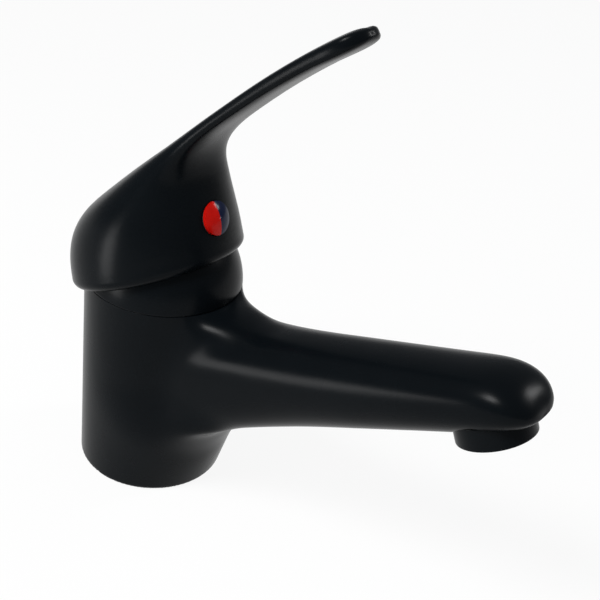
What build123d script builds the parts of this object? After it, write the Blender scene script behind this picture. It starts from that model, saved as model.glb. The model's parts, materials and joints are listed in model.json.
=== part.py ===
from build123d import *
import os
from math import cos, hypot, pi, radians, sin, sqrt, tan

# Single-lever basin mixer with a rising spout and a 40 mm ceramic cartridge.
# Millimetres, +Z up, origin at the centre of the base, spout towards +X.
# The lever stands fully raised, which is the open position.

# Body and base
body_height = 73.1
base_radius = 25.4
rim_radius = 26.5
base_edge = 0.8
recess_radius = 19.0
recess_height = 18.0
seal_groove_inner = 21.3
seal_groove_width = 2.6
seal_groove_depth = 1.5

# Spout
spout_rise = 22.2         # degrees
spout_root_x = 30.0
spout_root_drop = 21.3    # of the axis below the rim, at that x
spout_blend = 17.0        # radius where the spout grows out of the body
spout_start = -20.0       # along the spout's axis, inside the body
spout_nose_start = 96.0   # along the spout's axis, where the nose begins to round off
spout_nose_length = 20.2
root_above = 16.2         # spout surface above and below its axis, and half its width, at its start
root_below = 22.5
root_half_width = 15.2
above_taper = 0.045       # what each of them loses per mm of spout
below_taper = 0.115
width_taper = 0.0085
root_length = 45.0        # the root's extra size and squareness fade out here
above_flare = 1.5
width_flare = 4.0
spout_squareness = 2.25
root_squareness = 2.6
nose_bluntness = 0.55     # 1 rounds the nose as an ellipse in plan; less is blunter
nose_drop = 3.3           # how far the nose's point lies below the axis

# Waterway
waterway_radius = 5.5
waterway_bend_x = 38.0
waterway_bend_drop = 10.8 # below the spout's axis at its root
waterway_depth = 12.5     # of the first chamber's centre below the cartridge's seat

# Cartridge, of the 40 mm kind
cartridge_radius = 20.0
seat_drop = 33.1          # of the cartridge's seat below the rim
cartridge_height = 29.5   # from the seat to the shoulder under the nut
neck_height = 8.5
neck_step = 4.0           # from the can's radius in to the neck's
neck_wall = 3.0
housing_wall = 3.0
bore_clearance = 0.15
running_gap = 0.08
seat_gap = 0.3
base_thickness = 4.0
disc_thickness = 4.0
disc_wall = 2.2           # of the can round the fixed disc
moving_disc_inset = 4.6   # of its edge from the fixed disc's
moving_disc_thickness = 3.4
disc_gap = 0.05
inlet_x = -3.0
inlet_y = 7.0
inlet_radius = 2.6
outlet_x = 9.0
outlet_radius = 3.6
seal_width = 1.5
seal_height = 1.2
pocket_depth = 2.0        # of the mixing pocket in the moving disc
peg_radius = 1.6
peg_height = 2.5
peg_x = 4.0
peg_inset = 4.3           # sideways from the fixed disc's edge

# Lever motion
pivot_drop = 1.1          # of the lever's pivot below the rim
lift_angle = 26.7         # degrees between level, closed, and fully raised, open
foot_reach = 12.0         # from the pivot down to the stem's ball foot
ball_radius = 3.2
stem_side = 8.0
stem_neck_radius = 2.6
stem_top = 25.0
pin_radius = 2.0
pin_inset = 1.0           # of each end in the rotor
rotor_rise = 7.5          # of the rotor's top above the pivot
rotor_seal_rise = 4.3
seal_cord = 0.95          # radius of the ring's round section
flange_drop = 10.0        # of the rotor's flange below the pivot
flange_thickness = 6.5
rail_inset = 2.0          # of the rails' inner faces from the carrier's edge
rail_width = 2.8
rail_length = 14.0
carrier_room = 3.2        # round the carrier in the can, for its travel
carrier_plate = 3.5
block_side = 11.0         # the carrier's socket block
block_drop = 8.4          # of its top below the pivot

# Nut and collar
thread_wall = 2.0         # of the nut round the cartridge
thread_depth = 6.6        # below the rim
nut_rise = 5.9            # above the rim
nut_cap_step = 1.0        # from the thread's radius in to the cap's
nut_slots = 6
slip_ring_thickness = 0.6
collar_radius = 26.6      # the collar is part of a ball about the pivot
collar_wall = 1.8
collar_height = 15.2
collar_flange_height = 3.4
collar_edge = 0.5

# Handle
skirt_radius = 29.7
skirt_bottom = 4.8        # above the pivot, lever level
skirt_edge = 3.0
skirt_gap = 1.2
tip_length = 8.6
handle_sections = [       # back and front points (x, z) about the pivot, half width, squareness
    ((-skirt_radius, skirt_bottom), (skirt_radius, skirt_bottom), skirt_radius, 2.0),
    ((1.2 - skirt_radius, 13.0), (skirt_radius + 0.9, 12.0), skirt_radius - 0.8, 2.0),
    ((5.6 - skirt_radius, 22.0), (skirt_radius + 1.5, 19.0), skirt_radius - 2.4, 2.05),
    ((-15.0, 29.5), (skirt_radius + 1.9, 25.7), skirt_radius - 5.0, 2.1),
    ((-2.0, 35.0), (skirt_radius + 2.3, 31.0), skirt_radius - 8.5, 2.2),
    ((13.0, 40.5), (33.3, 36.0), 17.0, 2.3),
    ((27.0, 45.2), (37.6, 41.2), 13.0, 2.5),
    ((40.0, 49.7), (45.6, 45.8), 10.7, 2.8),
    ((54.0, 54.4), (56.8, 49.9), 9.6, 3.1),
    ((68.0, 58.8), (69.9, 54.1), 9.1, 3.4),
    ((79.5, 62.0), (81.0, 57.1), 9.0, 3.6),
    ((89.0, 64.3), (90.2, 59.2), 9.0, 3.7),
    ((96.5, 65.8), (97.6, 60.6), 9.0, 3.8),
]
boss_radius = 7.5
boss_bottom = 14.0
screw_radius = 2.5
indicator_radius = 5.5
indicator_height = 18.8
indicator_lean = 3.8      # degrees that the indicator faces down, lever level
indicator_rise = 2.2      # of the indicator's rim beyond the skirt's radius
indicator_depth = 3.0
indicator_skin = 1.0      # thickness of the coloured halves at their edge
screw_length = 18.0
screw_point = 1.2         # chamfer at the screw's tip
indicator_dome = 1.3

# Aerator, for an M24 thread
outlet_ahead = 4.5        # of the outlet's centre, beyond the start of the nose
outlet_below = 11.3       # the spout's axis
outlet_tilt = 26.2
aerator_radius = 12.0
aerator_thread_radius = 11.4
aerator_ring_height = 6.8
aerator_length = 11.0
aerator_washer = 1.5
aerator_wall = 1.4
aerator_lip = 1.0
aerator_lip_height = 0.8
honeycomb_height = 2.4
cell_pitch = 3.6
cell_radius = 1.8
screen_thickness = 0.8
screen_hole = 1.3         # radius of each of its holes
mixing_holes = 8
mixing_hole = 0.8         # radius of each
aerator_clearance = 0.12

# Supply connections
hose_y = 8.5
hose_thread_radius = 4.5
stud_x = -13.5
stud_thread_radius = 3.4
connection_depth = 12.0

section_points = 16       # points that each lofted section is drawn through

on_base = (Align.CENTER, Align.CENTER, Align.MIN)

# Values that follow from those above
axis_x = cos(radians(spout_rise))
axis_z = sin(radians(spout_rise))
spout_root_z = body_height - spout_root_drop
spout_nose_end = spout_nose_start + spout_nose_length
outlet_along = spout_nose_start + outlet_ahead
outlet_centre_x = spout_root_x + outlet_along * axis_x + outlet_below * axis_z
outlet_centre_z = spout_root_z + outlet_along * axis_z - outlet_below * axis_x
wall_slope = (rim_radius - base_radius) / body_height
disc_radius = cartridge_radius - disc_wall
moving_disc_radius = disc_radius - moving_disc_inset
neck_radius = cartridge_radius - neck_step
rotor_radius = neck_radius - neck_wall
carrier_radius = cartridge_radius - housing_wall - carrier_room
rail_inside = carrier_radius - rail_inset
pin_length = 2 * (rotor_radius - pin_inset)
peg_y = disc_radius - peg_inset
thread_radius = cartridge_radius + thread_wall
nut_cap_radius = thread_radius - nut_cap_step
cartridge_seat = body_height - seat_drop
cartridge_shoulder = cartridge_seat + cartridge_height
neck_top = cartridge_shoulder + neck_height
nut_seat = cartridge_shoulder + slip_ring_thickness
fixed_disc_bottom = cartridge_seat + base_thickness
fixed_disc_top = fixed_disc_bottom + disc_thickness
moving_disc_bottom = fixed_disc_top + disc_gap
carrier_bottom = moving_disc_bottom + moving_disc_thickness
waterway_start_z = cartridge_seat - waterway_depth
waterway_bend_z = spout_root_z - waterway_bend_drop
pivot_z = body_height - pivot_drop
rotor_top = pivot_z + rotor_rise
rotor_seal_z = pivot_z + rotor_seal_rise
flange_top = pivot_z - flange_drop
flange_bottom = flange_top - flange_thickness
block_top = pivot_z - block_drop
thread_bottom = body_height - thread_depth
nut_top = body_height + nut_rise
collar_top = body_height + collar_height
indicator_reach = skirt_radius + indicator_rise
open_shift = foot_reach * sin(radians(lift_angle / 2))
aerator_seat = aerator_length + aerator_washer


def drum(radius, low, high, x=0.0, y=0.0):
    """A vertical cylinder between two heights."""
    return Pos(x, y, low) * Cylinder(radius, high - low, align=on_base)


def rod(start, end, radius):
    """A cylinder between two points."""
    line = Vector(*end) - Vector(*start)
    plane = Plane(origin=start, z_dir=line)
    return plane * Cylinder(radius, line.length, align=on_base)


def tube(outer, inner, low, high, x=0.0, y=0.0):
    """A vertical ring between two heights."""
    return drum(outer, low, high, x, y) - drum(inner, low - 1, high + 1, x, y)


def spun(points):
    """The closed outline (radius, height) turned about the Z axis."""
    return Part() + revolve(Plane.XZ * make_face(Polyline(*points, close=True)), Axis.Z)


def spout_point(along, above):
    """A point in the middle plane, from the spout's axis."""
    x = spout_root_x + along * axis_x - above * axis_z
    z = spout_root_z + along * axis_z + above * axis_x
    return Vector(x, 0, z)


def oval(front, back, half_width, squareness=2.0):
    """A closed section between two points of the middle plane.

    Squareness 2 is an ellipse; more fills its corners out.
    """
    middle = (front + back) / 2
    half = (back - front) / 2
    points = []
    for step in range(section_points):
        turn = 2 * pi * step / section_points
        across = abs(sin(turn)) ** (2 / squareness) * (1 if sin(turn) > 0 else -1)
        along = abs(cos(turn)) ** (2 / squareness) * (1 if cos(turn) > 0 else -1)
        points.append(middle + half * along + Vector(0, half_width * across, 0))
    return Wire([Edge.make_spline(points, periodic=True)])


def root_share(along):
    """How much of the root's flare is left: 1 at the spout's start, fading to 0."""
    return max(0, (root_length - along) / (root_length - spout_start)) ** 2


def spout_section(along):
    """One section square to the spout's axis, which narrows evenly, and rounds off over the nose."""
    flare = root_share(along)
    above = root_above - above_taper * (along - spout_start) + above_flare * flare
    below = root_below - below_taper * (along - spout_start)
    half_width = root_half_width - width_taper * (along - spout_start) + width_flare * flare
    squareness = spout_squareness + root_squareness * flare
    past = max(0, (along - spout_nose_start) / spout_nose_length)
    shrink = sqrt(1 - past**3)
    above = (above + nose_drop) * shrink - nose_drop
    below = (below - nose_drop) * shrink + nose_drop
    width = half_width * shrink**nose_bluntness
    return oval(spout_point(along, -below), spout_point(along, above), width, squareness)


def spout_solid():
    """The spout's outside, with closer sections towards the point of its nose."""
    steps = 14
    sections = []
    for step in range(steps):
        share = step / steps
        share = (share + sin(pi / 2 * share)) / 2
        sections.append(spout_section(spout_start + (spout_nose_end - spout_start) * share))
    tip = spout_point(spout_nose_end, -nose_drop)
    return Part() + Solid.make_loft(sections + [Vertex(tip.X, tip.Y, tip.Z)])


def on_wall(edge):
    """Whether an edge runs round the body's wall where the spout leaves it."""
    for share in (0.1, 0.4, 0.7, 0.95):
        point = edge @ share
        wall = base_radius + wall_slope * point.Z
        if abs(hypot(point.X, point.Y) - wall) > 0.02 or point.Z < 1 or point.X < 0:
            return False
    return True


def body_outside():
    """The conical body and the spout as one blended form, turned flat at the rim."""
    top = body_height + rim_radius
    wall = spun([(0, 0), (base_radius, 0), (base_radius + wall_slope * top, top), (0, top)])
    form = Rot(0, 0, 180) * wall + spout_solid()
    form = fillet([edge for edge in form.edges() if on_wall(edge)], spout_blend)
    return form - drum(rim_radius + spout_blend, body_height, top + 1)


def aerator_point(depth):
    """A point on the aerator's axis, up from its outlet face."""
    x = outlet_centre_x - depth * sin(radians(outlet_tilt))
    z = outlet_centre_z + depth * cos(radians(outlet_tilt))
    return (x, 0, z)


def aerator_ring(outer, inner, low, high):
    """A ring on the aerator's axis between two depths from the outlet face."""
    ring = rod(aerator_point(low), aerator_point(high), outer)
    if inner > 0:
        ring = ring - rod(aerator_point(low - 1), aerator_point(high + 1), inner)
    return ring


def waterway():
    """The passages from the cartridge's outlet to the aerator's chamber."""
    start = (outlet_x + 1, 0, waterway_start_z)
    bend = (waterway_bend_x, 0, waterway_bend_z)
    end = aerator_point(aerator_seat + 1.5)
    return (
        drum(outlet_radius, waterway_start_z, cartridge_seat + 1, outlet_x)
        + Pos(*start) * Sphere(waterway_radius)
        + rod(start, bend, waterway_radius)
        + Pos(*bend) * Sphere(waterway_radius)
        + rod(bend, end, waterway_radius)
        + Pos(*end) * Sphere(waterway_radius)
        + rod(aerator_point(aerator_seat - 1), aerator_point(aerator_seat + 2.5), aerator_radius - 4)
    )


def faucet_body():
    form = body_outside()
    base_rim = form.edges().filter_by(GeomType.CIRCLE).sort_by(Axis.Z)[0]
    form = fillet(base_rim, base_edge)
    form = form - drum(cartridge_radius + bore_clearance, cartridge_seat, body_height + 1)
    form = form - drum(thread_radius + seat_gap / 3, thread_bottom, body_height + 1)
    form = form - drum(recess_radius, -1, recess_height)
    groove_outer = seal_groove_inner + seal_groove_width
    form = form - tube(groove_outer, seal_groove_inner, -1, seal_groove_depth)
    thread_top = recess_height + connection_depth
    form = form - drum(stud_thread_radius, recess_height - 1, thread_top, stud_x)
    for side in (-1, 1):
        form = form - drum(hose_thread_radius, recess_height - 1, thread_top, inlet_x, side * hose_y)
        form = form - drum(inlet_radius, thread_top - 1, cartridge_seat + 1, inlet_x, side * inlet_y)
        peg_bottom = cartridge_seat - peg_height - seat_gap
        form = form - drum(peg_radius + bore_clearance, peg_bottom, cartridge_seat, peg_x, side * peg_y)
    form = form - waterway()
    form = form - aerator_ring(aerator_thread_radius + seat_gap / 6, 0, -20, aerator_seat)
    ring_hole = aerator_radius + aerator_clearance
    return form - aerator_ring(ring_hole, 0, -20, aerator_ring_height + seat_gap)


def handle_point(x, z):
    """A point of the handle's middle plane, given with the lever level, where it stands when raised."""
    turn = radians(lift_angle)
    return Vector(x * cos(turn) - z * sin(turn), 0, pivot_z + x * sin(turn) + z * cos(turn))


def handle_outside():
    """The skirt, dome and blade as one flowing form, rounded off past the last full section."""
    sections = []
    for back, front, half_width, squareness in handle_sections:
        sections.append(oval(handle_point(*front), handle_point(*back), half_width, squareness))
    last_back = handle_point(*back)
    last_front = handle_point(*front)
    middle = (last_back + last_front) / 2
    half = (last_back - last_front) / 2
    heading = Vector(half.Z, 0, -half.X).normalized()
    for turn in (35, 62):
        centre = middle + heading * (tip_length * sin(radians(turn)))
        thin = half * cos(radians(turn)) ** 0.5
        width = half_width * cos(radians(turn)) ** 0.9
        sections.append(oval(centre - thin, centre + thin, width, squareness))
    tip = middle + heading * tip_length
    return Part() + Solid.make_loft(sections + [Vertex(tip.X, tip.Y, tip.Z)])


def stem_plane():
    """The lever stem's own plane: origin on the pivot, Z up the stem, X towards its front face."""
    half = radians(lift_angle / 2)
    return Plane(origin=(0, 0, pivot_z), x_dir=(cos(half), 0, sin(half)), z_dir=(-sin(half), 0, cos(half)))


def indicator_plane():
    """The plane of the indicator's rim, Z facing out."""
    face = radians(lift_angle - indicator_lean)
    centre = handle_point(indicator_reach, indicator_height)
    return Plane(origin=centre, x_dir=(0, 1, 0), z_dir=(cos(face), 0, sin(face)))


def screw_tip_depth():
    """How far behind the indicator's rim the stem's front face lies."""
    rim = indicator_plane()
    stem = stem_plane()
    reach = (rim.origin - stem.origin).dot(stem.x_dir) - stem_side / 2
    return reach / rim.z_dir.dot(stem.x_dir)


def level_box(plane, width, depth, low, high):
    """A box on a plane, centred sideways, between two heights."""
    return plane * Pos(0, 0, low) * Box(width, depth, high - low, align=on_base)


def level_drum(plane, radius, low, high):
    """A cylinder on a plane between two heights."""
    return plane * Pos(0, 0, low) * Cylinder(radius, high - low, align=on_base)


def lever_handle():
    form = handle_outside()
    skirt = [edge for edge in form.edges() if abs(edge.length - 2 * pi * skirt_radius) < 0.5]
    form = fillet(skirt, skirt_edge)
    pivot = Pos(0, 0, pivot_z)
    cavity_radius = collar_radius + skirt_gap
    form = form - pivot * Sphere(cavity_radius)
    stem = stem_plane()
    boss = level_drum(stem, boss_radius, boss_bottom, cavity_radius + 1)
    socket = stem_side + 2 * running_gap
    form = form + boss
    form = form - level_box(stem, socket, socket, boss_bottom - 1, stem_top + seat_gap)
    rim = indicator_plane()
    form = form - level_drum(rim, indicator_radius + bore_clearance, -indicator_depth, 10)
    return form - level_drum(rim, screw_radius + running_gap, -screw_tip_depth() - 1, 0)


def handle_screw():
    """The long grub screw, with its hexagon socket."""
    rim = indicator_plane()
    lean = radians(lift_angle / 2 - indicator_lean)
    tip = -screw_tip_depth() + (screw_radius - screw_point) * tan(lean) + running_gap / 2
    screw = level_drum(rim, screw_radius, tip, tip + screw_length)
    point = screw.edges().filter_by(GeomType.CIRCLE).sort_by(Axis.X)[0]
    screw = chamfer(point, screw_point)
    socket = rim * Pos(0, 0, tip + screw_length - 2.5) * extrude(RegularPolygon(1.4, 6), 3)
    return screw - socket


def indicator_plug():
    return level_drum(indicator_plane(), indicator_radius, -indicator_depth, -indicator_skin)


def indicator_half(side):
    """Half of the domed marker; side is -1 or 1 along Y."""
    rim = indicator_plane()
    ball = (indicator_radius**2 + indicator_dome**2) / (2 * indicator_dome)
    dome = rim * Pos(0, 0, indicator_dome - ball) * Sphere(ball)
    marker = level_drum(rim, indicator_radius, -indicator_skin, indicator_dome) & dome
    wide = 4 * indicator_radius
    keep = rim * Pos(side * wide / 2, 0, 0) * Box(wide, wide, wide)
    return marker & keep


def stem():
    """The square lever stem with its ball foot, bored for the pivot pin."""
    plane = stem_plane()
    form = level_box(plane, stem_side, stem_side, -stem_side / 2, stem_top)
    form = form + level_drum(plane, stem_neck_radius, -foot_reach, 0)
    form = form + plane * Pos(0, 0, -foot_reach) * Sphere(ball_radius)
    return form - rod((0, -stem_side, pivot_z), (0, stem_side, pivot_z), pin_radius + running_gap / 2)


def pivot_pin():
    return rod((0, -pin_length / 2, pivot_z), (0, pin_length / 2, pivot_z), pin_radius)


def rotor():
    """The turning part: a neck that holds the pivot pin, and a flange with two guide rails."""
    form = drum(cartridge_radius - housing_wall - running_gap, flange_bottom, flange_top)
    form = form + drum(rotor_radius, flange_top, rotor_top)
    swing = radians(lift_angle / 2)
    slot = 2 * ((rotor_top - pivot_z) * tan(swing) + stem_side / 2 / cos(swing) + seat_gap)
    form = form - level_box(Plane.XY, slot, stem_side + 2 * seat_gap, flange_bottom - 1, rotor_top + 1)
    room_x = block_side + 2 * open_shift + 2 * seat_gap
    room_y = block_side + 2 * seat_gap
    form = form - level_box(Plane.XY, room_x, room_y, flange_bottom - 1, block_top + seat_gap)
    rail = level_box(Plane.XY, rail_length, rail_width, carrier_bottom + 0.5, flange_bottom + 0.5)
    for side in (-1, 1):
        form = form + Pos(0, side * (rail_inside + rail_width / 2), 0) * rail
    reach = rotor_radius + 1
    form = form - rod((0, -reach, pivot_z), (0, reach, pivot_z), pin_radius + running_gap / 4)
    groove_low = rotor_seal_z - seal_cord - seat_gap / 2
    groove_high = rotor_seal_z + seal_cord + seat_gap / 2
    groove_radius = rotor_radius - 2 * seal_cord - running_gap
    return form - tube(rotor_radius + 1, groove_radius, groove_low, groove_high)


def rotor_seal():
    return Pos(0, 0, rotor_seal_z) * Torus(rotor_radius - seal_cord - 0.02, seal_cord)


def disc_carrier():
    """The driver on the moving disc: a plate with flats for the rails and a socket for the stem's foot."""
    plate_top = carrier_bottom + carrier_plate
    flats = 2 * (rail_inside - seat_gap)
    form = drum(carrier_radius, carrier_bottom, plate_top, open_shift)
    form = form & level_box(Plane.XY, 4 * carrier_radius, flats, carrier_bottom, plate_top)
    centre = Plane(origin=(open_shift, 0, 0))
    form = form + level_box(centre, block_side, block_side, carrier_bottom, block_top)
    foot_z = pivot_z - foot_reach
    hole = ball_radius + running_gap
    form = form - drum(hole, foot_z - ball_radius - seat_gap, block_top + 1, open_shift)
    mouth = block_top - foot_z - 1.5
    funnel = Cone(hole, hole + mouth * 0.7, mouth, align=on_base)
    return form - Pos(open_shift, 0, block_top - mouth) * funnel


def moving_disc():
    """The sliding ceramic disc with the T-shaped mixing pocket in its underside."""
    disc = drum(moving_disc_radius, moving_disc_bottom, carrier_bottom, open_shift)
    inlet_slot = Pos(inlet_x, 0, moving_disc_bottom) * extrude(
        SlotCenterToCenter(2 * inlet_y, 2 * inlet_radius + 0.4, rotation=90), pocket_depth
    )
    reach = outlet_x - inlet_x
    outlet_slot = Pos(inlet_x + reach / 2, 0, moving_disc_bottom) * extrude(
        SlotCenterToCenter(reach, 2 * inlet_radius + 0.4), pocket_depth
    )
    return disc - inlet_slot - outlet_slot


def ports(radius_extra, low, high):
    """Two inlets and one outlet as solid plugs between two heights."""
    plugs = drum(outlet_radius + radius_extra, low, high, outlet_x)
    for side in (-1, 1):
        plugs = plugs + drum(inlet_radius + radius_extra, low, high, inlet_x, side * inlet_y)
    return plugs


def port_rings(low):
    """One sealing ring round each port."""
    high = low + seal_height
    return ports(seal_width + seat_gap, low, high) - ports(seat_gap, low - 1, high + 1)


def fixed_disc():
    disc = drum(disc_radius, fixed_disc_bottom, fixed_disc_top)
    return disc - ports(0, fixed_disc_bottom - 1, fixed_disc_top + 1)


def cartridge_base():
    """The plate under the fixed disc, with ports, ring grooves and two locating pegs."""
    form = drum(disc_radius, cartridge_seat, fixed_disc_bottom)
    for side in (-1, 1):
        form = form + drum(peg_radius, cartridge_seat - peg_height, cartridge_seat + 1, peg_x, side * peg_y)
    form = form - ports(0, cartridge_seat - 1, fixed_disc_bottom + 1)
    return form - port_rings(cartridge_seat) - port_rings(fixed_disc_bottom - seal_height)


def cartridge_housing():
    """The stepped plastic can of the cartridge."""
    inside = cartridge_radius - housing_wall
    neck_inside = rotor_radius + running_gap
    pocket = disc_radius + running_gap
    return spun([
        (pocket, cartridge_seat + seat_gap),
        (cartridge_radius, cartridge_seat + seat_gap),
        (cartridge_radius, cartridge_shoulder),
        (neck_radius, cartridge_shoulder),
        (neck_radius, neck_top),
        (neck_inside, neck_top),
        (neck_inside, flange_top + seat_gap),
        (inside, flange_top + seat_gap),
        (inside, fixed_disc_top + seat_gap),
        (pocket, fixed_disc_top + seat_gap),
    ])


def slip_ring():
    return tube(cartridge_radius - 0.2, neck_radius + 0.2, cartridge_shoulder, nut_seat)


def retaining_nut():
    """The threaded ring over the cartridge's shoulder, slotted for a pin spanner."""
    nut = spun([
        (cartridge_radius + 0.25, thread_bottom + 0.5),
        (thread_radius, thread_bottom + 0.5),
        (thread_radius, body_height),
        (nut_cap_radius, body_height),
        (nut_cap_radius, nut_top),
        (neck_radius + 0.25, nut_top),
        (neck_radius + 0.25, nut_seat),
        (cartridge_radius + 0.25, nut_seat),
    ])
    for step in range(nut_slots):
        slot = Rot(0, 0, 360 / nut_slots * step) * Pos(nut_cap_radius, 0, 0)
        nut = nut - slot * level_box(Plane.XY, 8, 3, nut_top - 3, nut_top + 1)
    return nut


def dome_collar():
    """The ball-shaped collar that screws over the nut and covers it."""
    pivot = Pos(0, 0, pivot_z)
    shell = (pivot * Sphere(collar_radius)) & drum(collar_radius + 1, body_height, collar_top)
    flange_top_z = body_height + collar_flange_height
    inside = collar_radius - collar_wall
    shell = shell - (pivot * Sphere(inside) & drum(collar_radius, flange_top_z, collar_top + 5))
    shell = shell - drum(nut_cap_radius + running_gap, body_height - 1, collar_top)
    foot = shell.edges().filter_by(GeomType.CIRCLE).sort_by(Axis.Z)[0:2].sort_by(SortBy.LENGTH)[-1]
    return fillet(foot, collar_edge)


def base_seal():
    return tube(seal_groove_inner + seal_groove_width, seal_groove_inner, 0, seal_groove_depth)


def aerator_housing():
    """The threaded ring that holds the aerator in the spout."""
    bore = aerator_radius - aerator_wall
    form = aerator_ring(aerator_radius, bore, 0, aerator_ring_height)
    form = form + aerator_ring(aerator_thread_radius, bore, aerator_ring_height, aerator_length)
    return form + aerator_ring(aerator_radius - 0.2, bore - aerator_lip, 0, aerator_lip_height)


def aerator_outlet():
    """The honeycomb that the water leaves through."""
    radius = aerator_radius - aerator_wall - running_gap
    low = aerator_lip_height
    high = low + honeycomb_height
    disc = aerator_ring(radius, 0, low, high)
    tilt = radians(outlet_tilt)
    face = Plane(origin=aerator_point(low - 1), x_dir=(0, 1, 0), z_dir=(-sin(tilt), 0, cos(tilt)))
    cells = Sketch()
    for row in range(-2, 3):
        count = 5 - abs(row)
        for place in range(count):
            across = (place - (count - 1) / 2) * cell_pitch
            up = row * cell_pitch * cos(radians(30))
            cells = cells + Pos(across, up) * RegularPolygon(cell_radius, 6, rotation=30)
    return disc - face * extrude(cells, honeycomb_height + 2)


def aerator_insert():
    """The plastic cup that mixes air into the water: a pierced plate on a ring."""
    radius = aerator_radius - aerator_wall - running_gap
    low = aerator_lip_height + honeycomb_height + 0.1
    high = aerator_length - screen_thickness - 0.1
    cup = aerator_ring(radius, 0, low, high) - aerator_ring(radius - 1.5, 0, low - 1, high - 1.5)
    tilt = radians(outlet_tilt)
    face = Plane(origin=aerator_point(high - 3), x_dir=(0, 1, 0), z_dir=(-sin(tilt), 0, cos(tilt)))
    holes = Sketch() + PolarLocations(radius - 4, mixing_holes) * Circle(mixing_hole)
    return cup - face * extrude(holes, 5)


def aerator_screen():
    """The filter disc on top of the insert."""
    radius = aerator_radius - aerator_wall - running_gap
    high = aerator_length
    tilt = radians(outlet_tilt)
    disc = aerator_ring(radius, 0, high - screen_thickness, high)
    face = Plane(origin=aerator_point(high - 2), x_dir=(0, 1, 0), z_dir=(-sin(tilt), 0, cos(tilt)))
    holes = Sketch() + Circle(screen_hole) + PolarLocations(5.2, 8) * Circle(screen_hole)
    return disc - face * extrude(holes, 3)


def aerator_washer_ring():
    return aerator_ring(aerator_thread_radius - 0.2, aerator_radius - 4, aerator_length, aerator_seat)


pieces = {
    "faucet_body": faucet_body,
    "base_seal": base_seal,
    "cartridge_base": cartridge_base,
    "port_seals": lambda: port_rings(cartridge_seat),
    "disc_seals": lambda: port_rings(fixed_disc_bottom - seal_height),
    "fixed_disc": fixed_disc,
    "cartridge_housing": cartridge_housing,
    "slip_ring": slip_ring,
    "retaining_nut": retaining_nut,
    "dome_collar": dome_collar,
    "aerator_housing": aerator_housing,
    "aerator_outlet": aerator_outlet,
    "aerator_insert": aerator_insert,
    "aerator_screen": aerator_screen,
    "aerator_washer": aerator_washer_ring,
    "rotor": rotor,
    "rotor_seal": rotor_seal,
    "pivot_pin": pivot_pin,
    "disc_carrier": disc_carrier,
    "moving_disc": moving_disc,
    "stem": stem,
    "lever_handle": lever_handle,
    "handle_screw": handle_screw,
    "indicator_plug": indicator_plug,
    "indicator_hot": lambda: indicator_half(-1),
    "indicator_cold": lambda: indicator_half(1),
}

if __name__ == "__main__":
    os.makedirs("parts", exist_ok=True)
    for name, make in pieces.items():
        export_step(make(), f"parts/{name}.step")
        print(name)
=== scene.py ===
import bpy
import json
import math
import numpy as np
from mathutils import Matrix, Vector
from mathutils.bvhtree import BVHTree
from mathutils.kdtree import KDTree


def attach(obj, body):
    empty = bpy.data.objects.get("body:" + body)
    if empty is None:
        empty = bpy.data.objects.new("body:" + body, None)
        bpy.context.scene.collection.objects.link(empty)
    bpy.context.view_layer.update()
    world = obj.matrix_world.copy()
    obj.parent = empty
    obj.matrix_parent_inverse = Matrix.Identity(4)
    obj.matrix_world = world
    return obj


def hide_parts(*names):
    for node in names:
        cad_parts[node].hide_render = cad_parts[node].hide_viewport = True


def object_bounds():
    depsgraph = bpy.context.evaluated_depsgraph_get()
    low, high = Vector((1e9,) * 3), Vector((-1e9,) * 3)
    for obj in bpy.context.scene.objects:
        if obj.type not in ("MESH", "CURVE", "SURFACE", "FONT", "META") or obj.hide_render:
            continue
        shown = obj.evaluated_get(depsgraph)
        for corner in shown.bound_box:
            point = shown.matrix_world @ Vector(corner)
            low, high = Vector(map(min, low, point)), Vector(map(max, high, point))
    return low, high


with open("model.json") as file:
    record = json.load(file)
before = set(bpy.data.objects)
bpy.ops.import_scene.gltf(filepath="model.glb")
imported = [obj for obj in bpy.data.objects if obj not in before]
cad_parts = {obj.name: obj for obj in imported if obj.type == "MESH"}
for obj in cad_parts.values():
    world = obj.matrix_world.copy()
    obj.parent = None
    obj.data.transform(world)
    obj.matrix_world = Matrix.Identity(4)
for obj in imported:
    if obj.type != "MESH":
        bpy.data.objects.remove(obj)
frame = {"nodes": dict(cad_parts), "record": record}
cadBox = [list(corner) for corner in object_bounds()]
scene = bpy.context.scene
scene.view_settings.view_transform = "Standard"
print("faucet loaded:", len(frame["nodes"]), "parts")


def hexToLinear(code, alpha=1.0):
    # an sRGB hex colour as the linear values that the shaders take
    channels = [int(code[i:i + 2], 16) / 255 for i in (0, 2, 4)]
    linear = [c / 12.92 if c <= 0.04045 else ((c + 0.055) / 1.055) ** 2.4 for c in channels]
    return (*linear, alpha)


def addNode(tree, kind, settings=None, **links):
    # settings go to the node's own values or, by name or number, its sockets; links are socket=(node, output)
    node = tree.nodes.new(kind)
    for key, value in (settings or {}).items():
        if isinstance(key, int) or key in node.inputs:
            node.inputs[key].default_value = value
        else:
            setattr(node, key, value)
    for socket, source in links.items():
        target = int(socket[1:]) if socket[1:].isdigit() else socket.replace("_", " ")
        tree.links.new(source[0].outputs[source[1]], node.inputs[target])
    return node


def startMaterial(name, sockets):
    # a material with its one Principled shader, and object coordinates for its patterns; what is the same all
    # over is set on the shader's own sockets
    material = bpy.data.materials.new(name)
    material.use_nodes = True
    shader = material.node_tree.nodes["Principled BSDF"]
    for key, value in sockets.items():
        shader.inputs[key].default_value = value
    place = addNode(material.node_tree, "ShaderNodeTexCoord")
    return material, material.node_tree, shader, place


camera = {
    "target": (0.05522, 0.0, 0.0894),
    "turn": 32.61,        # degrees round from straight ahead
    "rise": 31.47,        # degrees above level
    "roll": 8.69,
    "distance": 0.34979,
    "lens": 68.29,
    "clipStart": 0.01,
}


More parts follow.
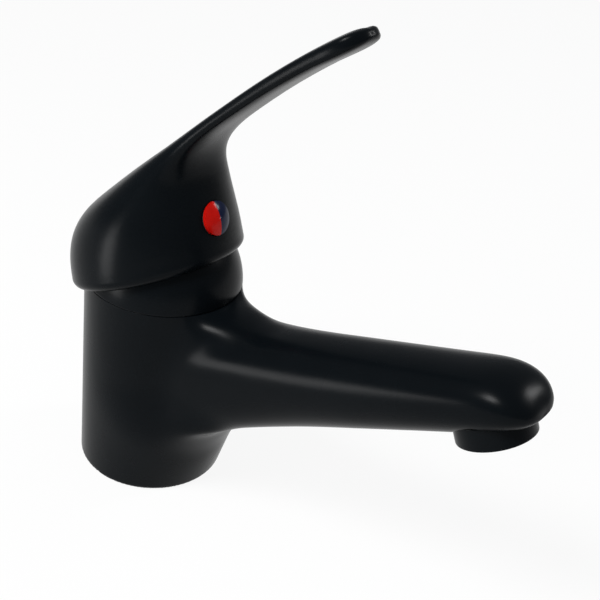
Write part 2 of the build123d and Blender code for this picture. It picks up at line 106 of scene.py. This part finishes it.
def placeCamera(c):
    turn, rise, roll = (math.radians(c[k]) for k in ("turn", "rise", "roll"))
    back = Vector((math.sin(turn) * math.cos(rise), -math.cos(turn) * math.cos(rise), math.sin(rise)))
    level = Vector((math.cos(turn), math.sin(turn), 0))
    over = back.cross(level)
    right = math.cos(roll) * level + math.sin(roll) * over
    up = math.cos(roll) * over - math.sin(roll) * level
    body = bpy.data.cameras.new("studioCamera")
    body.lens = c["lens"]
    body.clip_start = c["clipStart"]
    eye = bpy.data.objects.new("studioCamera", body)
    scene.collection.objects.link(eye)
    turned = Matrix((right, up, back)).transposed().to_4x4()
    eye.matrix_world = Matrix.Translation(Vector(c["target"]) + back * c["distance"]) @ turned
    scene.camera = eye


placeCamera(camera)
print("camera placed")

studio = {
    "floorColour": "F4F4F3",
    "floorRoughness": 0.9,
    "floorSize": 6.0,
    "floorDrop": 0.0001,  # below the faucet's foot, so that the two don't share a plane
    "worldColour": "D9DCE0",
    "worldStrength": 0.4,
    "ownShare": 0.9,      # how much of the floor's white is its own, so the object's shadow stays faint
    "lamps": {            # turn and rise of its place, distance, width, height, watts
        "keyBox": (-106.0, 54.0, 1.0, 0.36, 0.30, 9.0),
        "backBox": (57.0, 30.0, 1.1, 0.17, 0.30, 2.8),
        "lowStrip": (-122.0, -6.1, 0.351, 0.09, 0.10, 0.30),
    },
}


def buildStudio(s):
    world = bpy.data.worlds.new("studioWorld")
    scene.world = world
    world.use_nodes = True
    background = world.node_tree.nodes["Background"]
    background.inputs["Color"].default_value = hexToLinear(s["worldColour"])
    background.inputs["Strength"].default_value = s["worldStrength"]

    half = s["floorSize"] / 2
    mesh = bpy.data.meshes.new("studioFloor")
    corners = [(-half, -half, 0), (half, -half, 0), (half, half, 0), (-half, half, 0)]
    mesh.from_pydata(corners, [], [(0, 1, 2, 3)])
    floor = bpy.data.objects.new("studioFloor", mesh)
    scene.collection.objects.link(floor)
    floor.location.z = cadBox[0][2] - s["floorDrop"]
    # matt paper: the camera and the gloss see mostly its own white, so the shadow on it stays faint
    sockets = {"Base Color": hexToLinear(s["floorColour"]), "Roughness": s["floorRoughness"]}
    paper, tree, shader, place = startMaterial("studioPaperMatte", sockets)
    glow = addNode(tree, "ShaderNodeEmission", {"Color": (1, 1, 1, 1), "Strength": 1.0})
    ray = addNode(tree, "ShaderNodeLightPath")
    seen = addNode(tree, "ShaderNodeMath", {"operation": "MAXIMUM"},
                   _0=(ray, "Is Camera Ray"), _1=(ray, "Is Glossy Ray"))
    through = addNode(tree, "ShaderNodeMath", {"operation": "MAXIMUM"},
                      _0=(seen, 0), _1=(ray, "Is Transmission Ray"))
    share = addNode(tree, "ShaderNodeMath", {"operation": "MULTIPLY", 1: s["ownShare"]}, _0=(through, 0))
    mix = addNode(tree, "ShaderNodeMixShader", None, _0=(share, 0), _1=(shader, 0), _2=(glow, 0))
    tree.links.new(mix.outputs[0], tree.nodes["Material Output"].inputs["Surface"])
    floor.data.materials.append(paper)

    aim = Vector(camera["target"])
    for name, (turn, rise, distance, width, height, watts) in s["lamps"].items():
        turn, rise = math.radians(turn), math.radians(rise)
        level = math.cos(rise)
        spot = aim + distance * Vector((level * math.cos(turn), level * math.sin(turn), math.sin(rise)))
        light = bpy.data.lights.new(name, "AREA")
        light.shape = "RECTANGLE"
        light.size, light.size_y, light.energy = width, height, watts
        lamp = bpy.data.objects.new(name, light)
        scene.collection.objects.link(lamp)
        lamp.location = spot
        lamp.rotation_euler = (aim - spot).to_track_quat("-Z", "Y").to_euler()


buildStudio(studio)
print("studio lit")

blackLacquer = {
    "colour": "06090C",
    "paler": "0A0E11",
    "roughness": 0.27,
    "spread": 0.03,       # how far the roughness varies either way
    "peel": 1.2,          # mm between the coat's orange-peel waves; the finest are 0.4 and wouldn't show
    "peelDepth": 0.006,   # mm
    "peelStrength": 0.2,
    "haze": 22.0,         # mm, patches where the coat is a little more or less matt
    "softEdge": 0.5,      # mm, how far the coat rounds an edge over
}


def makeBlackLacquer(s):
    # black lacquer sprayed and baked over brass: a soft even sheen that breaks up a little, and rounded edges
    material, tree, shader, place = startMaterial("blackLacquerSprayed", {"IOR": 1.15})
    haze = addNode(tree, "ShaderNodeTexNoise", {"Scale": 1000 / s["haze"], "Detail": 3.0},
                   Vector=(place, "Object"))
    tones = {"data_type": "RGBA", 6: hexToLinear(s["colour"]), 7: hexToLinear(s["paler"])}
    tone = addNode(tree, "ShaderNodeMix", tones, _0=(haze, 0))
    tree.links.new(tone.outputs[2], shader.inputs["Base Color"])
    sheen = {"To Min": s["roughness"] - s["spread"], "To Max": s["roughness"] + s["spread"]}
    matt = addNode(tree, "ShaderNodeMapRange", sheen, Value=(haze, 0))
    tree.links.new(matt.outputs[0], shader.inputs["Roughness"])
    edge = addNode(tree, "ShaderNodeBevel", {"samples": 6, "Radius": s["softEdge"] / 1000})
    peel = addNode(tree, "ShaderNodeTexNoise", {"Scale": 1000 / s["peel"], "Detail": 2.0},
                   Vector=(place, "Object"))
    waves = {"Strength": s["peelStrength"], "Distance": s["peelDepth"] / 1000}
    bump = addNode(tree, "ShaderNodeBump", waves, Height=(peel, 0), Normal=(edge, 0))
    tree.links.new(bump.outputs[0], shader.inputs["Normal"])
    return material


plastics = {              # colour, paler colour, roughness, spacing and depth of the tool's spark marks in mm
    "acetalWhiteMoulded": ("DAD9D2", "E6E5DF", 0.42, 0.6, 0.010),
    "nylonGreyMoulded": ("9FA3A8", "AEB2B6", 0.50, 0.5, 0.014),
    "acetalGreyMoulded": ("8C9195", "9BA0A4", 0.40, 0.6, 0.008),
    "absBlackMoulded": ("1C1D1E", "252627", 0.45, 0.5, 0.010),
}


def makeMouldedPlastic(name, colour, paler, roughness, mark, depth):
    # injection-moulded in a spark-eroded tool: a fine matt grain, and flow patches some 12 mm across
    material, tree, shader, place = startMaterial(name, {"IOR": 1.49})
    flow = addNode(tree, "ShaderNodeTexNoise", {"Scale": 1000 / 12, "Detail": 2.0, "Distortion": 0.6},
                   Vector=(place, "Object"))
    tones = {"data_type": "RGBA", 6: hexToLinear(colour), 7: hexToLinear(paler)}
    tone = addNode(tree, "ShaderNodeMix", tones, _0=(flow, 0))
    tree.links.new(tone.outputs[2], shader.inputs["Base Color"])
    grain = addNode(tree, "ShaderNodeTexVoronoi", {"Scale": 1000 / mark}, Vector=(place, "Object"))
    sheen = {"To Min": roughness - 0.05, "To Max": roughness + 0.08}
    matt = addNode(tree, "ShaderNodeMapRange", sheen, Value=(grain, 0))
    tree.links.new(matt.outputs[0], shader.inputs["Roughness"])
    bump = addNode(tree, "ShaderNodeBump", {"Strength": 0.4, "Distance": depth / 1000}, Height=(grain, 0))
    tree.links.new(bump.outputs[0], shader.inputs["Normal"])
    return material


rubber = {
    "colour": "17181A",
    "bloom": "2A2B2C",    # the dusty bloom that rubber gathers
    "roughness": 0.72,
    "spread": (0.06, 0.1),    # how far the roughness varies, down and up
    "bloomSize": 5.0,     # mm
    "bloomDepth": 0.02,   # mm
}


def makeRubber(s):
    # moulded nitrile rubber: deep black with a dull dusty bloom in patches
    sockets = {"IOR": 1.52, "Specular IOR Level": 0.35}
    material, tree, shader, place = startMaterial("nitrileRubberMoulded", sockets)
    bloom = {"Scale": 1000 / s["bloomSize"], "Detail": 6.0, "Roughness": 0.65}
    dust = addNode(tree, "ShaderNodeTexNoise", bloom, Vector=(place, "Object"))
    spread = addNode(tree, "ShaderNodeMapRange", {"From Min": 0.42, "From Max": 0.75}, Value=(dust, 0))
    tones = {"data_type": "RGBA", 6: hexToLinear(s["colour"]), 7: hexToLinear(s["bloom"])}
    tone = addNode(tree, "ShaderNodeMix", tones, _0=(spread, 0))
    tree.links.new(tone.outputs[2], shader.inputs["Base Color"])
    sheen = {"To Min": s["roughness"] - s["spread"][0], "To Max": s["roughness"] + s["spread"][1]}
    matt = addNode(tree, "ShaderNodeMapRange", sheen, Value=(dust, 0))
    tree.links.new(matt.outputs[0], shader.inputs["Roughness"])
    bump = addNode(tree, "ShaderNodeBump", {"Strength": 0.3, "Distance": s["bloomDepth"] / 1000},
                   Height=(dust, 0))
    tree.links.new(bump.outputs[0], shader.inputs["Normal"])
    return material


alumina = {
    "colour": "DAD6CC",
    "speck": "C4BFB3",
    "roughness": 0.14,
    "spread": (0.04, 0.06),   # how far the roughness varies, down and up
    "grain": 0.35,        # mm, the sintered grain, drawn far coarser than the real 0.01
}


def makeAlumina(s):
    # sintered alumina, lapped flat for the seal: nearly a mirror, with a faint speckle
    material, tree, shader, place = startMaterial("aluminaLapped", {"IOR": 1.77})
    grain = addNode(tree, "ShaderNodeTexVoronoi", {"Scale": 1000 / s["grain"]}, Vector=(place, "Object"))
    fade = addNode(tree, "ShaderNodeMapRange", {"From Min": 0.3, "From Max": 0.9}, Value=(grain, 0))
    tones = {"data_type": "RGBA", 6: hexToLinear(s["colour"]), 7: hexToLinear(s["speck"])}
    tone = addNode(tree, "ShaderNodeMix", tones, _0=(fade, 0))
    tree.links.new(tone.outputs[2], shader.inputs["Base Color"])
    sheen = {"To Min": s["roughness"] - s["spread"][0], "To Max": s["roughness"] + s["spread"][1]}
    matt = addNode(tree, "ShaderNodeMapRange", sheen, Value=(grain, 0))
    tree.links.new(matt.outputs[0], shader.inputs["Roughness"])
    return material


metals = {                # colour, darker colour, roughness, mm between tool marks, direction of the marks
    "brassTurned": ("C9A75C", "AD8A45", 0.26, 0.35, "Z"),
    "stainlessGround": ("B9BABB", "9A9C9E", 0.30, 0.25, "X"),
}


def makeToolMarkedMetal(name, colour, darker, roughness, pitch, direction):
    # cut metal: fine parallel marks from the tool, with the lustre varying from mark to mark
    material, tree, shader, place = startMaterial(name, {"Metallic": 1.0})
    bands = {"wave_type": "BANDS", "bands_direction": direction, "Scale": 100 * math.pi / pitch,
             "Distortion": 0.8, "Detail": 2.0}
    marks = addNode(tree, "ShaderNodeTexWave", bands, Vector=(place, "Object"))
    tones = {"data_type": "RGBA", 6: hexToLinear(darker), 7: hexToLinear(colour)}
    tone = addNode(tree, "ShaderNodeMix", tones, _0=(marks, 1))
    tree.links.new(tone.outputs[2], shader.inputs["Base Color"])
    sheen = {"To Min": roughness - 0.06, "To Max": roughness + 0.08}
    matt = addNode(tree, "ShaderNodeMapRange", sheen, Value=(marks, 1))
    tree.links.new(matt.outputs[0], shader.inputs["Roughness"])
    bump = addNode(tree, "ShaderNodeBump", {"Strength": 0.25, "Distance": 0.00001}, Height=(marks, 1))
    tree.links.new(bump.outputs[0], shader.inputs["Normal"])
    return material


resins = {                # colour, deeper colour, roughness; clouds some 4 mm across
    "acrylicRedCast": ("C8130A", "9A0C07", 0.15),
    "acrylicBlueCast": ("101B3C", "0B1329", 0.15),
}


def makeCastResin(name, colour, deeper, roughness):
    # tinted acrylic cast as a dome: wet gloss, its colour a little deeper in slow clouds
    material, tree, shader, place = startMaterial(name, {"IOR": 1.2})
    cloud = addNode(tree, "ShaderNodeTexNoise", {"Scale": 1000 / 4, "Detail": 1.0}, Vector=(place, "Object"))
    tones = {"data_type": "RGBA", 6: hexToLinear(colour), 7: hexToLinear(deeper)}
    tone = addNode(tree, "ShaderNodeMix", tones, _0=(cloud, 0))
    tree.links.new(tone.outputs[2], shader.inputs["Base Color"])
    sheen = {"To Min": roughness - 0.02, "To Max": roughness + 0.03}
    matt = addNode(tree, "ShaderNodeMapRange", sheen, Value=(cloud, 0))
    tree.links.new(matt.outputs[0], shader.inputs["Roughness"])
    return material


made = {name: makeMouldedPlastic(name, *values) for name, values in plastics.items()}
made.update({name: makeToolMarkedMetal(name, *values) for name, values in metals.items()})
made.update({name: makeCastResin(name, *values) for name, values in resins.items()})
finishes = {
    "black_coating": makeBlackLacquer(blackLacquer),
    "cartridge_plastic": made["acetalWhiteMoulded"],
    "rotor_plastic": made["nylonGreyMoulded"],
    "ceramic_disc": makeAlumina(alumina),
    "seal_rubber": makeRubber(rubber),
    "nut_brass": made["brassTurned"],
    "pin_steel": made["stainlessGround"],
    "outlet_plastic": made["acetalGreyMoulded"],
    "indicator_red": made["acrylicRedCast"],
    "indicator_blue": made["acrylicBlueCast"],
    "plug_plastic": made["absBlackMoulded"],
}
for part in frame["record"]["subparts"]:
    for slot in frame["nodes"][part["node"]].material_slots:
        slot.material = finishes[part["material_slot"]]
print("finishes on")

bodyCasting = {
    "grid": 0.65,             # mm between the points of the cast skin
    "rim": (26.5, 73.1),      # mm, radius and height of the edge that the collar stands in
    "rimCatch": 0.5,          # mm, nearer than this a point is moved on to that edge
    "rimRoom": 1.0,           # mm inside the rim from which a point's nearness to the ledge is measured
    "ledgeFrom": -5.0,        # mm along X, the same
    "ledgeCatch": 0.05,       # mm from the rim's height at which a point is on the ledge in front of it
    "coreRadius": 22.5,       # mm, inside which the bores and the recess lie
    "footBand": 2.0,          # mm above the base that stay as modelled, with the foot's edge
    "spoutAxis": (30.0, 51.8, 22.2),  # mm, a point of the spout's axis, and its rise in degrees
    "waterwayRoom": 9.0,      # mm round the spout's axis where the wall is the waterway's
    "throatLean": 6.4,        # mm that the wall leans out under the spout
    "throatFoot": 0.5,        # mm above the base where the lean starts
    "throatTop": 24.0,        # mm above the base where it has reached its full depth
    "throatEnd": (27.0, 44.0),    # mm above the base between which it fades out
    "throatSpread": 110.0,    # degrees each side of the spout
    "throatLeast": 0.05,      # mm of lean, above which the skin counts as the throat's
    "throatBand": 8.0,        # mm below its top where the skin is held more loosely
    "throatPull": 0.08,       # how much of evenPull is left there
    "spoutFade": (32.0, 54.0),    # mm along X over which the lean fades out along the spout
    "underside": (0.2, 0.8),  # how far a face has to look down to count as the spout's underside
    "shoulderDepth": 15.0,    # mm below the rim that the shoulder's rollover may reach
    "shoulderReach": 5.5,     # mm beyond the modelled ledge that the rollover takes in
    "evenPull": 0.003,        # how hard the skin is held to the modelled one while it is evened out
    "evenSteps": 220,         # of the solver that evens it out
    "edgeCosine": 0.94,       # cosine of the turn, from point to point, that makes a sharp edge, which stays
    "sharpAngle": 38.0,       # degrees, for the shading of those edges
}


def smoothStep(low, high, value):
    t = np.clip((value - low) / (high - low), 0.0, 1.0)
    return t * t * (3 - 2 * t)


def castBody(s):
    # the cast brass body's own skin: the modelled body laid over with an even grid, its shoulder rolled over
    # softly into the spout, and its wall leaning out under the spout
    node = frame["nodes"]["faucet_body"]
    work = bpy.data.objects.new("bodyCastingWork", node.data.copy())
    scene.collection.objects.link(work)
    remesh = work.modifiers.new("evenGrid", "REMESH")
    remesh.mode = "VOXEL"
    remesh.voxel_size = s["grid"] / 1000
    mesh = bpy.data.meshes.new_from_object(work.evaluated_get(bpy.context.evaluated_depsgraph_get()))
    bpy.data.objects.remove(work)
    count = len(mesh.vertices)
    at = np.empty(count * 3)
    mesh.vertices.foreach_get("co", at)
    at = at.reshape(-1, 3)
    pairs = np.empty(len(mesh.edges) * 2, dtype=np.int64)
    mesh.edges.foreach_get("vertices", pairs)
    pairs = pairs.reshape(-1, 2)

    faces = [face.vertices for face in node.data.polygons]
    tree = BVHTree.FromPolygons([v.co for v in node.data.vertices], faces)
    found = [tree.find_nearest(Vector(point)) for point in at]
    at = np.array([place for place, *_ in found]) * 1000
    facing = np.array([normal for _, normal, *_ in found])

    rimRadius, rimHeight = s["rim"]
    across = np.hypot(at[:, 0], at[:, 1])
    onRim = (np.abs(at[:, 2] - rimHeight) < s["rimCatch"]) & (np.abs(across - rimRadius) < s["rimCatch"])
    at[onRim, :2] *= (rimRadius / across[onRim])[:, None]
    at[onRim, 2] = rimHeight

    # the wall leans out under the spout, and the spout's underside slides along itself to make room
    axisX, axisHeight, rise = s["spoutAxis"]
    rise = math.radians(rise)
    dx, dz = at[:, 0] - axisX, at[:, 2] - axisHeight
    off = np.hypot(dx * -math.sin(rise) + dz * math.cos(rise), at[:, 1])
    across = np.hypot(at[:, 0], at[:, 1])
    outer = (across > s["coreRadius"]) & (off > s["waterwayRoom"])
    turned = np.degrees(np.arctan2(at[:, 1], at[:, 0])) / s["throatSpread"]
    climb = (at[:, 2] - s["throatFoot"]) / (s["throatTop"] - s["throatFoot"])
    lean = s["throatLean"] * np.clip(climb, 0, 1)
    lean *= 1 - smoothStep(*s["throatEnd"], at[:, 2])
    along = 1 - smoothStep(*s["spoutFade"], at[:, 0])
    lean *= np.cos(np.clip(turned, -1, 1) * math.pi / 2) ** 2 * along * outer
    under = smoothStep(*s["underside"], -facing[:, 2])
    at[:, 2] += lean * at[:, 0] / across * math.tan(rise) * under
    at[:, :2] += (lean / across)[:, None] * at[:, :2]

    # the skin between the sharp edges is evened out, and freely so at the shoulder
    a, b = pairs[:, 0], pairs[:, 1]
    crossing = (facing[a] * facing[b]).sum(1) < s["edgeCosine"]
    edge = np.zeros(count, dtype=bool)
    edge[pairs[crossing].ravel()] = True
    edge[pairs[edge[a] | edge[b]].ravel()] = True
    onLedge = s["ledgeCatch"]
    ledge = (np.abs(at[:, 2] - rimHeight) < onLedge) & (across > rimRadius + 2 * onLedge) & (at[:, 0] > 0)
    ledgePoints = KDTree(int(ledge.sum()))
    for number, point in enumerate(at[ledge]):
        ledgePoints.insert(point, number)
    ledgePoints.balance()
    high = at[:, 2] > rimHeight - s["shoulderDepth"]
    near = np.where(high & (across > rimRadius - s["rimRoom"]) & (at[:, 0] > s["ledgeFrom"]))[0]
    gap = np.full(count, 1000.0)     # mm, far off until it is measured
    gap[near] = [ledgePoints.find(at[i])[2] for i in near]
    shoulder = (gap < s["shoulderReach"]) & ~onRim & (across > rimRadius - onLedge)
    free = shoulder | ((across > s["coreRadius"]) & (at[:, 2] > s["footBand"]) & ~edge & ~onRim)
    throat = (lean > s["throatLeast"]) & (at[:, 2] > s["throatTop"] - s["throatBand"])
    pull = s["evenPull"] * smoothStep(0.5 * s["shoulderReach"], s["shoulderReach"], gap)
    pull = (pull * np.where(throat, s["throatPull"], 1.0))[:, None]
    valence = np.bincount(a, minlength=count) + np.bincount(b, minlength=count)
    bends = np.where(onRim, 0.0, 1.0)[:, None]     # the skin may meet the rim at any slope

    def gather(values):
        sums = [np.bincount(a, values[b, k], count) + np.bincount(b, values[a, k], count) for k in range(3)]
        return np.stack(sums, 1)

    def bend(values):
        return (values - gather(values) / valence[:, None]) * bends

    def spread(values):
        return values - gather(values / valence[:, None])

    # conjugate gradients, to the shape that bends least
    hold = free[:, None]
    residual = -spread(bend(at)) * hold
    move = np.zeros_like(at)
    search = residual.copy()
    size = (residual ** 2).sum(0)
    for _ in range(s["evenSteps"]):
        pushed = (spread(bend(search)) + pull * search) * hold
        stride = size / np.maximum((search * pushed).sum(0), 1e-20)
        move += stride * search
        residual -= stride * pushed
        newSize = (residual ** 2).sum(0)
        search = residual + newSize / np.maximum(size, 1e-20) * search
        size = newSize
    at += move

    mesh.vertices.foreach_set("co", (at / 1000).ravel())
    mesh.polygons.foreach_set("use_smooth", [True] * len(mesh.polygons))
    mesh.set_sharp_from_angle(angle=math.radians(s["sharpAngle"]))
    mesh.materials.clear()
    piece = bpy.data.objects.new("bodyCasting", mesh)
    scene.collection.objects.link(piece)
    piece.data.materials.append(finishes["black_coating"])
    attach(piece, "body")
    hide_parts("faucet_body")


castBody(bodyCasting)
print("body cast")
